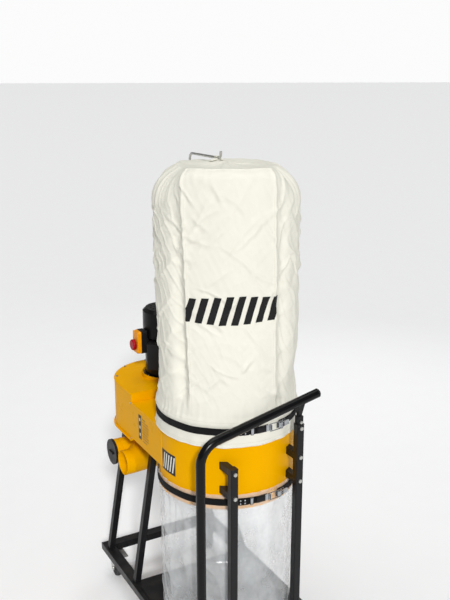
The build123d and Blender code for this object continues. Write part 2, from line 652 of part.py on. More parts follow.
BAR_END = Vector(HANDLE_X, HANDLE_END_Y, HANDLE_END_Z)
with BuildPart() as handle_end_cap:
    with BuildSketch(Plane(BAR_END, z_dir=-BAR_DIRECTION)):
        Circle(HANDLE_R)
    extrude(amount=4)
    with BuildSketch(Plane(BAR_END - BAR_DIRECTION * 4, z_dir=-BAR_DIRECTION)):
        Circle(HANDLE_R)
    extrude(amount=4, taper=45)
    with BuildSketch(Plane(BAR_END, z_dir=BAR_DIRECTION)):
        Circle(HANDLE_R - HANDLE_WALL)
    extrude(amount=16)
save(handle_end_cap.part, "handle_end_cap")

SADDLE_Z = HANDLE_START_Z + (POST_Y - HANDLE_START_Y) * tan(radians(HANDLE_SLOPE))
with BuildPart() as handle_bracket:
    add(block((HANDLE_X - 11, POST_Y - 10, POST_TOP), (HANDLE_X + 11, POST_Y + 10, POST_TOP + 30)))
    with BuildSketch(Plane((HANDLE_X, POST_Y, POST_TOP + 29))):
        Rectangle(12, 12)
    with BuildSketch(Plane((HANDLE_X, POST_Y, SADDLE_Z))):
        Rectangle(30, 30)
    loft()
    add(swept(HANDLE_PATH, HANDLE_R), mode=Mode.SUBTRACT)
save(handle_bracket.part, "handle_bracket")

HANGER_LOW, HANGER_BEND, HOOK_BEND = HEM - 150, 22, 14
HOOK_X = RING_X - 40
with BuildPart() as bag_hanger:
    with BuildLine() as hanger_path:
        mast = Line((HANGER_X, 0, HANGER_LOW), (HANGER_X, 0, HANGER_Z - HANGER_BEND))
        bow = TangentArc(mast @ 1, (HANGER_X + HANGER_BEND, 0, HANGER_Z), tangent=mast % 1)
        arm = Line(bow @ 1, (HOOK_X - HOOK_BEND, 0, HANGER_Z))
        tip = TangentArc(arm @ 1, (HOOK_X, 0, HANGER_Z + HOOK_BEND), tangent=arm % 1)
        Line(tip @ 1, (HOOK_X, 0, HANGER_Z + HOOK_BEND + 10))
    with BuildSketch(Plane((HANGER_X, 0, HANGER_LOW))):
        Circle(HANGER_R)
    sweep()
save(bag_hanger.part, "bag_hanger")

with BuildPart() as hanger_clips:
    for clip_z in (HEM - 130, HEM - 40):
        add(block((HANGER_X - 9, -11, clip_z), (RING_X - RING_R + 8, 11, clip_z + 18)))
    add(pipe(RING_X, 0, RING_LOW, RING_TOP, RING_R), mode=Mode.SUBTRACT)
    add(pipe(HANGER_X, 0, RING_LOW, RING_TOP, HANGER_R), mode=Mode.SUBTRACT)
save(hanger_clips.part, "hanger_clips")

with BuildPart() as frame_bolts:
    for bolt_y, bolt_z in ((POST_Y, POST_TOP - 14), (POST_Y, RING_LOW + 168), (POST_Y, RING_LOW + 78),
                           (-POST_Y, RING_LOW + 168), (-POST_Y, RING_LOW + 78)):
        start = (HANDLE_X + POST_W / 2, bolt_y, bolt_z)
        with BuildSketch(Plane(start, z_dir=(1, 0, 0))):
            RegularPolygon(7.5, 6)
        extrude(amount=5)
    with BuildSketch(Plane((HANDLE_X + 11, POST_Y, POST_TOP + 8), z_dir=(1, 0, 0))):
        RegularPolygon(6, 6)
    extrude(amount=5)
save(frame_bolts.part, "frame_bolts")

# ---- Filter bag, its loop and the chip bag ----
BEAD_BULGE = 8
with BuildPart() as filter_bag:
    with BuildSketch(Plane((RING_X, 0, HEM), x_dir=(1, 0, 0), z_dir=(0, -1, 0))):
        with BuildLine():
            Line((BAG_R + 5, 0), (STRAP_R - GAP, 41))
            Line((STRAP_R - GAP, 41), (STRAP_R - GAP, 71))
            Spline((STRAP_R - GAP, 71), (RING_R + BEAD_BULGE, 80), (BAG_R, 108))
            Line((BAG_R, 108), (BAG_R, SHOULDER_Z - HEM))
            ThreePointArc((BAG_R, SHOULDER_Z - HEM), (BAG_R - 18, SHOULDER_Z - HEM + 55),
                          (SHOULDER_R, BAG_TOP - HEM))
            Line((SHOULDER_R, BAG_TOP - HEM), (0, BAG_TOP - HEM))
            Line((0, BAG_TOP - HEM), (0, BAG_TOP - HEM - BAG_WALL))
            Line((0, BAG_TOP - HEM - BAG_WALL), (SHOULDER_R - 1, BAG_TOP - HEM - BAG_WALL))
            ThreePointArc((SHOULDER_R - 1, BAG_TOP - HEM - BAG_WALL),
                          (BAG_R - 20.5, SHOULDER_Z - HEM + 53), (BAG_R - BAG_WALL, SHOULDER_Z - HEM))
            Line((BAG_R - BAG_WALL, SHOULDER_Z - HEM), (BAG_R - BAG_WALL, 112))
            Spline((BAG_R - BAG_WALL, 112), (RING_R + 4, 88), (RING_R + 4, 75), (RING_R + 0.5, 70))
            Line((RING_R + 0.5, 70), (RING_R + 0.5, 0))
            Line((RING_R + 0.5, 0), (BAG_R + 5, 0))
        make_face()
    revolve(axis=Axis((RING_X, 0, 0), (0, 0, 1)))
save(filter_bag.part, "filter_bag")

LOOP_X, LOOP_W = HOOK_X - HOOK_BEND - 16, 24
with BuildPart() as bag_loop:
    with BuildSketch(Plane((LOOP_X - LOOP_W / 2, 0, BAG_TOP), x_dir=(0, 1, 0), z_dir=(1, 0, 0))):
        with BuildLine():
            Polyline((-26, 0), (-20, 3), (-11, 9))
            ThreePointArc((-11, 9), (0, 19), (11, 9))
            Polyline((11, 9), (20, 3), (26, 0), (14, 0), (8, 6))
            ThreePointArc((8, 6), (0, 15), (-8, 6))
            Polyline((-8, 6), (-14, 0), (-26, 0))
        make_face()
    extrude(amount=LOOP_W)
save(bag_loop.part, "bag_loop")

with BuildPart() as chip_bag:
    with BuildSketch(Plane((RING_X, 0, 0), x_dir=(1, 0, 0), z_dir=(0, -1, 0))):
        with BuildLine():
            Polyline((0, CHIP_BAG_LOW), (205, CHIP_BAG_LOW))
            RadiusArc((205, CHIP_BAG_LOW), (245, CHIP_BAG_LOW + 40), -40)
            Polyline((245, CHIP_BAG_LOW + 40), (RING_R + 5, RING_LOW - 14), (RING_R + 5, CHIP_BAG_TOP),
                     (RING_R + 0.5, CHIP_BAG_TOP), (RING_R + 0.5, RING_LOW + 12), (RING_R + 4, RING_LOW + 8),
                     (RING_R + 3, RING_LOW - 14), (242, CHIP_BAG_LOW + 41))
            RadiusArc((242, CHIP_BAG_LOW + 41), (204, CHIP_BAG_LOW + BAG_WALL), 38)
            Polyline((204, CHIP_BAG_LOW + BAG_WALL), (0, CHIP_BAG_LOW + BAG_WALL), (0, CHIP_BAG_LOW))
        make_face()
    revolve(axis=Axis((RING_X, 0, 0), (0, 0, 1)))
save(chip_bag.part, "chip_bag")


# ---- Strap clamps and their over-centre latches ----
def latch_frame(z, angle=LATCH_ANGLE):
    """Frame on the strap's outside; x runs towards the hook, y points outwards."""
    x, y = polar(RING_X, 0, LATCH_R, angle)
    return facing(x, y, z, angle)


def strap(z):
    """Band round the bag, open between the latch and the hook."""
    gap_low, gap_high = HOOK_ANGLE + 2.6, LATCH_ANGLE - 2.5
    with BuildPart() as band:
        with BuildSketch(Plane((RING_X, 0, z - STRAP_H / 2))):
            Circle(STRAP_R + STRAP_T)
            Circle(STRAP_R, mode=Mode.SUBTRACT)
            with BuildLine():
                Polyline((0, 0), polar(0, 0, 300, gap_low), polar(0, 0, 300, gap_high), close=True)
            make_face(mode=Mode.SUBTRACT)
        extrude(amount=STRAP_H)
    return band.part


PIN_AT = (3, 7)
BAIL_AT = (-9, 9)
HOOK_BAR_AT = (42, 1)
EAR_Z = 11


def upright_rod(frame, x, y, half, radius):
    """Rod along the frame's z, centred on it."""
    with BuildPart() as rod:
        with BuildSketch(frame.offset(-half)):
            with Locations((x, y)):
                Circle(radius)
        extrude(amount=2 * half)
    return rod.part


def latch_plate(z):
    """Riveted plate with two ears and the lever's pin."""
    frame = latch_frame(z)
    with BuildPart() as piece:
        add(plate(frame, (-30, 0, -EAR_Z), (12, 2, EAR_Z)))
        for low in (-EAR_Z, EAR_Z - 2):
            add(plate(frame, (PIN_AT[0] - 4, 1, low), (PIN_AT[0] + 4, PIN_AT[1] + 4, low + 2)))
        add(upright_rod(frame, *PIN_AT, EAR_Z, PIN_R))
    return piece.part


def hook_plate(z):
    """Plate on the strap's other end with an upturned tab."""
    frame = latch_frame(z, HOOK_ANGLE)
    with BuildPart() as piece:
        add(plate(frame, (-16, 0, -EAR_Z), (22, 2, EAR_Z)))
        add(plate(frame, (-12.8, 1, -EAR_Z + 2), (-10.8, 9, EAR_Z - 2)))
    return piece.part


def latch_lever(z):
    """Lever with a hub on the pin, side cheeks for the bail, and a turned-out tip."""
    frame = latch_frame(z)
    half = EAR_Z - 2 - GAP
    with BuildPart() as piece:
        with BuildSketch(frame.offset(-half)):
            with BuildLine():
                Polyline((3, 11), (-12, 12.5), (-34, 9), (-LEVER_L, 12), (-LEVER_L, 9.8),
                         (-34, 6.8), (-14, 6.4), (3, 3.8), close=True)
            make_face()
            with Locations(PIN_AT):
                Circle(4)
                Circle(PIN_R + 0.05, mode=Mode.SUBTRACT)
            with Locations(BAIL_AT):
                Circle(WIRE_R + 0.05, mode=Mode.SUBTRACT)
        extrude(amount=2 * half)
    return piece.part


def latch_bail(z):
    """Closed wire loop from the lever to the hook."""
    frame = latch_frame(z)
    wire_z = EAR_Z + 2.5
    with BuildPart() as piece:
        add(upright_rod(frame, *BAIL_AT, wire_z + WIRE_R, WIRE_R))
        add(upright_rod(frame, *HOOK_BAR_AT, wire_z + WIRE_R, WIRE_R))
        for side in (-1, 1):
            start = frame.from_local_coords(Vector(*BAIL_AT, side * wire_z))
            end = frame.from_local_coords(Vector(*HOOK_BAR_AT, side * wire_z))
            along = (end - start).normalized()
            with BuildSketch(Plane(start - along * WIRE_R, z_dir=along)):
                Circle(WIRE_R - 0.02)
            extrude(amount=(end - start).length + 2 * WIRE_R)
    return piece.part


with BuildPart() as latch_plates:
    for strap_z in (UPPER_STRAP_Z, LOWER_STRAP_Z):
        add(latch_plate(strap_z))
        add(hook_plate(strap_z))
save(latch_plates.part, "latch_plates")

for level, strap_z in (("upper", UPPER_STRAP_Z), ("lower", LOWER_STRAP_Z)):
    save(strap(strap_z), f"{level}_strap")
    save(latch_lever(strap_z), f"{level}_latch_lever")
    save(latch_bail(strap_z), f"{level}_latch_bail")

print("steps written:", len([f for f in os.listdir("parts") if f.endswith(".step")]))
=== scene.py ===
"""Looks of the two-bag dust collector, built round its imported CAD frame."""

import json
from math import cos, hypot, pi, radians, sin, tau

import bpy
import numpy as np
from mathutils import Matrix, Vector


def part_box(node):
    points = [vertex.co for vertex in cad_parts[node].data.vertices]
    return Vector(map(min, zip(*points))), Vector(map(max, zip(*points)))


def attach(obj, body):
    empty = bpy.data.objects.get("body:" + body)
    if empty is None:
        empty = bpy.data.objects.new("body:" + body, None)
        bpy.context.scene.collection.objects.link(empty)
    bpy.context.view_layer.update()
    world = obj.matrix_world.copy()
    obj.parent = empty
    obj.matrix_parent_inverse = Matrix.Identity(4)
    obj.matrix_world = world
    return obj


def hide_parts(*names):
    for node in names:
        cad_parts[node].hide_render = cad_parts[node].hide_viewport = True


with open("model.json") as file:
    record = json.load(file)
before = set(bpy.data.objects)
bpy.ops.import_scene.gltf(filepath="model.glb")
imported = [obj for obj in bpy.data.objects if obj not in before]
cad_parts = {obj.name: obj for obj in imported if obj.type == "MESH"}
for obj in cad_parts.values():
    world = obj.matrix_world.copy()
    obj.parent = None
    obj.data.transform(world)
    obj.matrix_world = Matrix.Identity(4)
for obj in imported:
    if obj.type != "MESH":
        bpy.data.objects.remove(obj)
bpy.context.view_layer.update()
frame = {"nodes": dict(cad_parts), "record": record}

MM = 0.001

# ---- Places read from the frame ----
RING_LOW, RING_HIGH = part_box("collector_ring")
RING_X = (RING_LOW[0] + RING_HIGH[0]) / 2
RING_Y = (RING_LOW[1] + RING_HIGH[1]) / 2
HEM_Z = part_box("filter_bag")[0][2]
STRAP_LOW, STRAP_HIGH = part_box("upper_strap")
LOWER_STRAP_LOW, LOWER_STRAP_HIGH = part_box("lower_strap")
CHIP_LOW, CHIP_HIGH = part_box("chip_bag")
LOOP_LOW, LOOP_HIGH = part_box("bag_loop")
LOOP_X = (LOOP_LOW[0] + LOOP_HIGH[0]) / 2
DUCT_LOW, DUCT_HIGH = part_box("outlet_duct")
RING_R = 250 * MM


# ---- Camera, light and floor ----
VIEW_AZIMUTH, VIEW_PITCH = radians(60.8), radians(15.3)
VIEW_BACK, VIEW_UP, VIEW_LEFT = 2.75, 1.2, 0.0052
SENSOR, LENS = 24, 32.28         # millimetres
FLOOR_SIZE = 900
AMBIENT, BACKDROP = 0.20, 0.97   # strengths of the world's light and of what the camera sees


def add_camera():
    """Camera in front of the ring and above it, looking down on the hem."""
    away = Vector((-sin(VIEW_AZIMUTH), cos(VIEW_AZIMUTH), 0))
    right = Vector((cos(VIEW_AZIMUTH), sin(VIEW_AZIMUTH), 0))
    data = bpy.data.cameras.new("camera")
    data.sensor_fit = "VERTICAL"
    data.sensor_height = SENSOR
    data.lens = LENS
    camera = bpy.data.objects.new("camera", data)
    camera.location = Vector((RING_X, RING_Y, HEM_Z)) - away * VIEW_BACK - right * VIEW_LEFT
    camera.location.z += VIEW_UP
    camera.rotation_euler = (pi / 2 - VIEW_PITCH, 0, VIEW_AZIMUTH)
    bpy.context.collection.objects.link(camera)
    bpy.context.scene.camera = camera


def add_light(name, place, target, size, power):
    """Soft square light aimed at a point."""
    data = bpy.data.lights.new(name, "AREA")
    data.size = size
    data.energy = power
    lamp = bpy.data.objects.new(name, data)
    lamp.location = place
    lamp.rotation_euler = (Vector(target) - Vector(place)).to_track_quat("-Z", "Y").to_euler()
    bpy.context.collection.objects.link(lamp)


def add_sun(name, toward, strength, spread):
    """Distant soft light that shines along a direction."""
    data = bpy.data.lights.new(name, "SUN")
    data.energy = strength
    data.angle = radians(spread)
    lamp = bpy.data.objects.new(name, data)
    lamp.rotation_euler = Vector(toward).to_track_quat("-Z", "Y").to_euler()
    bpy.context.collection.objects.link(lamp)


def add_studio():
    """White backdrop with dimmer ambient light, soft studio lights and a pale floor."""
    world = bpy.data.worlds.new("studio")
    world.use_nodes = True
    tree = world.node_tree
    ambient = tree.nodes["Background"]
    ambient.inputs["Color"].default_value = (0.97, 0.98, 1.0, 1)
    ambient.inputs["Strength"].default_value = AMBIENT
    backdrop = tree.nodes.new("ShaderNodeBackground")
    backdrop.inputs["Color"].default_value = (1, 1, 1, 1)
    backdrop.inputs["Strength"].default_value = BACKDROP
    choose = tree.nodes.new("ShaderNodeMixShader")
    tree.links.new(tree.nodes.new("ShaderNodeLightPath").outputs["Is Camera Ray"], choose.inputs[0])
    tree.links.new(ambient.outputs[0], choose.inputs[1])
    tree.links.new(backdrop.outputs[0], choose.inputs[2])
    tree.links.new(choose.outputs[0], tree.nodes["World Output"].inputs["Surface"])
    bpy.context.scene.world = world
    bpy.context.scene.view_settings.view_transform = "Standard"
    add_sun("key", (-0.82, 0.30, -0.50), 2.2, 5)
    add_sun("overhead", (0.10, 0.12, -1), 1.1, 50)
    add_light("front", (3.3, -1.0, 2.3), (0.1, 0, 1.3), 0.7, 8)
    add_light("rim", (-2.4, 2.6, 2.6), (0.1, 0, 1.3), 1.4, 14)
    bpy.ops.mesh.primitive_plane_add(size=FLOOR_SIZE)
    ground = bpy.context.object
    ground.name = "floor"
    ground.data.materials.append(material("floor_white", (0.94, 0.94, 0.94), 0.85, spread=0.005))


# ---- Materials ----
class Graph:
    """A material's node tree, with short calls for adding and linking nodes."""

    def __init__(self, name):
        self.material = bpy.data.materials.new(name)
        self.material.use_nodes = True
        self.tree = self.material.node_tree
        self.shader = self.tree.nodes["Principled BSDF"]
        self.place = self.node("ShaderNodeTexCoord").outputs["Object"]

    def node(self, kind, inputs=None, **settings):
        made = self.tree.nodes.new(kind)
        for key, value in settings.items():
            setattr(made, key, value)
        for key, value in (inputs or {}).items():
            if isinstance(value, bpy.types.NodeSocket):
                self.tree.links.new(value, made.inputs[key])
            else:
                made.inputs[key].default_value = value
        return made

    def math(self, operation, a, b=0.0):
        return self.node("ShaderNodeMath", {0: a, 1: b}, operation=operation).outputs[0]

    def noise(self, scale, detail=3.0, rough=0.5, stretch=(1, 1, 1)):
        mapped = self.node("ShaderNodeMapping", {"Vector": self.place, "Scale": stretch}).outputs[0]
        made = self.node("ShaderNodeTexNoise",
                         {"Vector": mapped, "Scale": scale, "Detail": detail, "Roughness": rough})
        return made.outputs[0]

    def span(self, value, low, high, out_low, out_high):
        made = self.node("ShaderNodeMapRange", {0: value, 1: low, 2: high, 3: out_low, 4: out_high})
        return made.outputs[0]

    def blend(self, factor, colour_a, colour_b):
        made = self.node("ShaderNodeMix", data_type="RGBA")
        for key, value in ((0, factor), (6, colour_a), (7, colour_b)):
            if isinstance(value, bpy.types.NodeSocket):
                self.tree.links.new(value, made.inputs[key])
            else:
                made.inputs[key].default_value = value
        return made.outputs[2]

    def bump(self, height, distance, strength=1.0, under=None):
        inputs = {"Height": height, "Distance": distance, "Strength": strength}
        if under:
            inputs["Normal"] = under
        return self.node("ShaderNodeBump", inputs).outputs[0]

    def feed(self, name, value):
        if isinstance(value, bpy.types.NodeSocket):
            self.tree.links.new(value, self.shader.inputs[name])
        else:
            self.shader.inputs[name].default_value = value


def tint(colour, factor):
    return tuple(min(channel * factor, 1) for channel in colour) + (1,)


def material(name, colour, rough, metal=0.0, spread=0.10, patch=6.0, grain=350.0, depth=0.05,
             dust=0.0, spec=0.5, gloss_tint=(1, 1, 1, 1)):
    """Surface with patchy colour, patchy roughness, fine relief and a little settled dust."""
    g = Graph(name)
    cloud = g.noise(patch, 4)
    tone = g.blend(g.span(cloud, 0.3, 0.7, 0, 1), tint(colour, 1 - spread), tint(colour, 1 + spread))
    if dust:
        up = g.node("ShaderNodeSeparateXYZ", {0: g.node("ShaderNodeNewGeometry").outputs["Normal"]})
        facing_up = g.span(up.outputs[2], 0.3, 1, 0, 1)
        lying = g.math("MULTIPLY", facing_up, g.span(g.noise(14, 5), 0.4, 0.75, 0, dust))
        tone = g.blend(lying, tone, (0.42, 0.36, 0.28, 1))
    g.feed("Base Color", tone)
    g.feed("Roughness", g.span(g.noise(patch * 4, 3), 0.3, 0.7, max(rough - 0.07, 0.02), rough + 0.09))
    g.feed("Metallic", metal)
    g.feed("Specular IOR Level", spec)
    g.feed("Specular Tint", gloss_tint)
    edge = g.node("ShaderNodeBevel", {"Radius": 1.2 * MM}, samples=4).outputs[0]
    g.feed("Normal", g.bump(g.noise(grain, 2), depth * MM, under=edge))
    return g.material


def brushed(name, colour, rough, stretch):
    """Metal with fine scratches along one direction and dull patches."""
    g = Graph(name)
    streak = g.noise(60, 3, 0.6, stretch)
    g.feed("Base Color", g.blend(g.span(streak, 0.3, 0.7, 0, 1), tint(colour, 0.84), tint(colour, 1.08)))
    g.feed("Roughness", g.span(g.noise(25, 4), 0.3, 0.7, rough - 0.06, rough + 0.12))
    g.feed("Metallic", 1.0)
    g.feed("Normal", g.bump(streak, 0.04 * MM))
    return g.material


def cloth(name, colour, thread, depth, sheen, blotch):
    """Woven cloth: two crossed thread directions round the ring's axis, soft blotches and fuzz."""
    g = Graph(name)
    parts = g.node("ShaderNodeSeparateXYZ", {0: g.place})
    turn = g.math("ARCTAN2", g.math("SUBTRACT", parts.outputs[1], RING_Y),
                  g.math("SUBTRACT", parts.outputs[0], RING_X))
    across = g.math("MULTIPLY", turn, RING_R * tau / thread)
    along = g.math("MULTIPLY", parts.outputs[2], tau / thread)
    warp = g.math("SINE", g.math("ADD", across, along))
    weft = g.math("SINE", g.math("SUBTRACT", across, along))
    weave = g.math("MULTIPLY", warp, weft)
    cloud = g.noise(5, 5, 0.6)
    tone = g.blend(g.span(cloud, 0.32, 0.68, 0, 1), tint(colour, 1 - blotch), tint(colour, 1 + blotch))
    fuzz = g.noise(900, 2)
    tone = g.blend(g.span(weave, -1, 1, 0, 0.16), tone, tint(colour, 0.72))
    g.feed("Base Color", tone)
    g.feed("Roughness", g.span(fuzz, 0.3, 0.7, 0.82, 0.96))
    g.feed("Sheen Weight", sheen)
    g.feed("Sheen Roughness", 0.5)
    g.feed("Specular IOR Level", 0.2)
    relief = g.bump(weave, depth, 0.7)
    g.feed("Normal", g.bump(fuzz, depth * 0.6, 0.6, relief))
    return g.material


def film(name):
    """Clear polythene film with faint streaks."""
    g = Graph(name)
    streak = g.noise(30, 4, 0.6, (1, 1, 0.25))
    dull, bright = (0.80, 0.84, 0.86, 1), (0.95, 0.97, 0.98, 1)
    g.feed("Base Color", g.blend(g.span(streak, 0.3, 0.7, 0, 1), dull, bright))
    g.feed("Roughness", g.span(streak, 0.3, 0.7, 0.10, 0.26))
    g.feed("Alpha", g.span(g.noise(12, 4), 0.3, 0.7, 0.26, 0.42))
    g.feed("Specular IOR Level", 0.9)
    g.feed("Normal", g.bump(streak, 0.3 * MM, 0.6))
    return g.material


YELLOW = (0.80, 0.385, 0.0)
MATERIALS = {
    "frame_black": lambda: material("frame_black", (0.008, 0.008, 0.009), 0.36, dust=0.05, grain=500,
                                    spec=0.25),
    "body_yellow": lambda: material("body_yellow", YELLOW, 0.32, spread=0.05, patch=3, spec=0.03,
                                    grain=420, depth=0.05, gloss_tint=(1, 0.70, 0.20, 1)),
    "tube_black": lambda: material("tube_black", (0.003, 0.003, 0.0035), 0.20, grain=240, depth=0.03,
                                   spec=0.22),
    "motor_black": lambda: material("motor_black", (0.003, 0.003, 0.0035), 0.28, grain=700,
                                    depth=0.05, dust=0.06, spec=0.16),
    "zinc_steel": lambda: brushed("zinc_steel", (0.58, 0.58, 0.55), 0.34, (1, 1, 0.2)),
    "bright_steel": lambda: brushed("bright_steel", (0.46, 0.48, 0.50), 0.16, (0.3, 0.3, 2)),
    "laminations": lambda: brushed("laminations", (0.32, 0.32, 0.33), 0.45, (0.05, 0.05, 12)),
    "copper": lambda: brushed("copper", (0.60, 0.25, 0.10), 0.35, (3, 3, 0.4)),
    "cast_alloy": lambda: material("cast_alloy", (0.55, 0.55, 0.56), 0.48, metal=0.9, grain=260, depth=0.15),
    "black_plastic": lambda: material("black_plastic", (0.008, 0.008, 0.009), 0.42, grain=900, depth=0.10,
                                      dust=0.05, spec=0.22),
    "switch_yellow": lambda: material("switch_yellow", (0.80, 0.30, 0.0), 0.34, spread=0.04, grain=1100,
                                      depth=0.05, spec=0.2),
    "stop_red": lambda: material("stop_red", (0.33, 0.0, 0.008), 0.32, spread=0.06, grain=900, depth=0.04,
                                 spec=0.2),
    "start_green": lambda: material("start_green", (0.01, 0.25, 0.05), 0.35, spread=0.06, grain=900,
                                    depth=0.04),
    "wheel_rubber": lambda: material("wheel_rubber", (0.035, 0.035, 0.036), 0.72, grain=300, depth=0.2,
                                     dust=0.3),
    "filter_cloth": lambda: cloth("filter_cloth", (0.80, 0.785, 0.69), 1.6 * MM, 0.10 * MM, 0.06, 0.03),
    "strap_web": lambda: cloth("strap_web", (0.006, 0.006, 0.0065), 2.4 * MM, 0.35 * MM, 0.02, 0.25),
    "chip_film": lambda: film("chip_film"),
}


def paint_frame(made):
    """Gives every CAD node the material of its slot."""
    slot_of = {row["node"]: row["material_slot"] for row in frame["record"]["subparts"]}
    for node_name, node in frame["nodes"].items():
        for holder in node.material_slots:
            holder.link = "OBJECT"
            holder.material = made[slot_of[node_name]]


# ---- Mesh helpers ----
def make_piece(name, points, faces, look, smooth=True):
    """Mesh object from points and faces, riding on the root body."""
    mesh = bpy.data.meshes.new(name)
    mesh.from_pydata([tuple(p) for p in points], [], faces)
    mesh.validate()
    mesh.polygons.foreach_set("use_smooth", [smooth] * len(mesh.polygons))
    mesh.materials.append(look)
    piece = bpy.data.objects.new(name, mesh)
    bpy.context.collection.objects.link(piece)
    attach(piece, "root")
    return piece


def grid_faces(rows, columns, closed=True):
    """Quads of a grid whose columns may close round."""
    faces = []
    last = columns if closed else columns - 1
    for row in range(rows - 1):
        for column in range(last):
            a = row * columns + column
            b = row * columns + (column + 1) % columns
            faces.append((a, b, b + columns, a + columns))
    return faces


def bell(distance, width):
    return np.exp(-(distance / width) ** 2)


def wrap(angle):
    """Angle brought into -pi..pi."""
    return (angle + pi) % tau - pi


def ease(value, low, high):
    """0 below low, 1 above high, smooth between."""
    t = np.clip((value - low) / (high - low), 0, 1)
    return t * t * (3 - 2 * t)


def waves(turn, height, seed, count, around, along):
    """Smooth unevenness that closes round the axis, about -1..1."""
    source = np.random.default_rng(seed)
    total = np.zeros(np.broadcast(turn, height).shape)
    for _ in range(count):
        turns = source.integers(around[0], around[1] + 1)
        rise = source.uniform(*along) * source.choice((-1, 1))
        total += np.sin(turns * turn + rise * height + source.uniform(0, tau))
    return total / count ** 0.5 * 0.8


# ---- Filter bag ----
FRONT = radians(-25)
PANELS = 5
CREASE_START = radians(11)
BAG_COLUMNS, BAG_ROWS = ((560, 390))
WALL_SHARE, CORNER_SHARE = 0.80, 0.07
BAG_TOP = 0.931
BEAD_HEIGHT = 0.080
CREASE_LOW, CREASE_HIGH = 0.10, 0.84
DRIFT = radians(6)               # how far a crease leans over the bag's height
SHAPE = [(0.0, 257.5), (0.012, 257.0), (0.034, 254.9), (0.042, 254.4), (0.070, 254.4), (BEAD_HEIGHT, 258.6),
         (0.088, 257.5), (0.102, 252), (0.14, 248.5), (0.22, 246), (0.34, 248), (0.55, 250.5), (0.72, 252.5),
         (0.86, 255), (1.0, 255)]


def panel_place(turn, height):
    """Arc distance to the nearest crease, whether on the front panel, and the share across the panel."""
    drift = DRIFT * (0.5 - height / BAG_TOP)
    steps = (turn - CREASE_START - drift) / (tau / PANELS)
    arc = (steps - np.round(steps)) * tau / PANELS * RING_R
    front = np.floor(steps) % PANELS == PANELS - 1
    return arc, front, steps - np.floor(steps)


def crease_relief(turn, height):
    """Sewn creases, with the front panel standing proud of its neighbours."""
    arc, front, across = panel_place(turn, height)
    fade = ease(height, 0.09, 0.20)
    hollow = 1 - 0.55 * ease(height, 0.72, 0.90)
    depth = 0.75 + 0.5 * waves(turn, height, 11, 4, (1, 4), (3, 8))
    ridge = 5.5 * bell(arc, 0.008)
    proud = ridge - 11.0 * np.sin(pi * across)
    sunk = ridge - 19.0 * hollow * depth * bell(np.abs(arc) - 0.036, 0.024) + 3.0 * np.sin(pi * across) - 2.0
    return np.where(front, proud, sunk) * fade


def buckles(turn, height, seed, around, along, sharp):
    """Crests that wander over the cloth with broad hollows between."""
    warp = waves(turn, height, seed + 1, 5, (2, 6), (4, 10))
    field = waves(turn + 0.09 * warp, height + 0.03 * warp, seed, 6, around, along)
    return (1 - np.minimum(np.abs(field) * sharp, 1)) ** 1.6


def fold_lines(turn, height, seed, count):
    """Short sharp creases, most of them slanting and beside the sewn creases."""
    source = np.random.default_rng(seed)
    total = np.zeros(turn.shape)
    for _ in range(count):
        crease = CREASE_START + source.integers(PANELS) * tau / PANELS
        middle = crease + source.normal(0.12, 0.30) if source.random() < 0.65 else source.uniform(0, tau)
        level = source.uniform(0.15, 0.90)
        slant = source.choice((-1, 1)) * radians(source.uniform(18, 62))
        reach, width = source.uniform(0.025, 0.085), source.uniform(0.0045, 0.010)
        depth, bow = source.uniform(1.2, 3.6), source.uniform(-3, 3)
        right, up = wrap(turn - middle) * RING_R, height - level
        along = right * cos(slant) + up * sin(slant)
        across = up * cos(slant) - right * sin(slant) + bow * along ** 2
        profile = bell(across, width) - 0.7 * bell(across + 1.9 * width, 1.7 * width)
        total += depth * profile * np.exp(-(along / reach) ** 4)
    return total


def large_folds(turn, height):
    """Folds where the cloth slumps on the strap and hangs from its loop."""
    right, left = wrap(turn - radians(58)), wrap(turn - radians(-110))
    slump = -12 * bell(right, 0.5) * bell(height - 0.225 - 0.12 * right, 0.070)
    slump += 5 * bell(right, 0.5) * bell(height - 0.125, 0.03)
    folds = -6 * bell(height - 0.545 + 0.16 * right, 0.018) * bell(right, 0.55)
    folds += 4 * bell(height - 0.575 + 0.16 * right, 0.016) * bell(right, 0.55)
    folds -= 6 * bell(height - 0.565 - 0.15 * left, 0.018) * bell(left, 0.5)
    folds += 4 * bell(height - 0.595 - 0.15 * left, 0.016) * bell(left, 0.5)
    folds -= 5 * bell(height - 0.74 + 0.30 * left, 0.020) * bell(left, 0.45)
    folds -= 5 * bell(height - 0.70 - 0.35 * right, 0.022) * bell(right, 0.45)
    return slump + folds


def bag_radius(turn, height):
    """Radius of the bag's wall, in metres."""
    profile = np.interp(height, [h for h, _ in SHAPE], [r for _, r in SHAPE])
    front = panel_place(turn, height)[1]
    body = ease(height, 0.085, 0.17)
    side = np.where(front, 0.36, 1.0)
    relief = 3.2 * waves(turn, height, 21, 5, (2, 6), (2, 6)) * side
    relief += 5.5 * (buckles(turn, height, 31, (3, 9), (14, 30), 1.6) - 0.3) * side
    relief += 3.0 * (buckles(turn, height, 41, (8, 16), (20, 44), 1.5) - 0.3) * side
    relief += 0.5 * waves(turn, height, 51, 8, (30, 80), (60, 190))
    relief += 1.25 * fold_lines(turn, height, 61, 130)
    gather = waves(turn, height, 71, 9, (26, 74), (5, 24))
    near_strap = bell(np.maximum(height - 0.092, 0), 0.050) * ease(height, 0.073, 0.092)
    skirt = ease(0.040 - height, 0.0, 0.036)
    pucker = waves(turn, height, 81, 7, (7, 30), (8, 26))
    folds = (relief + large_folds(turn, height)) * body + crease_relief(turn, height)
    return (profile + folds + 1.5 * gather * near_strap + (2.4 * pucker + 1.0) * skirt) * MM


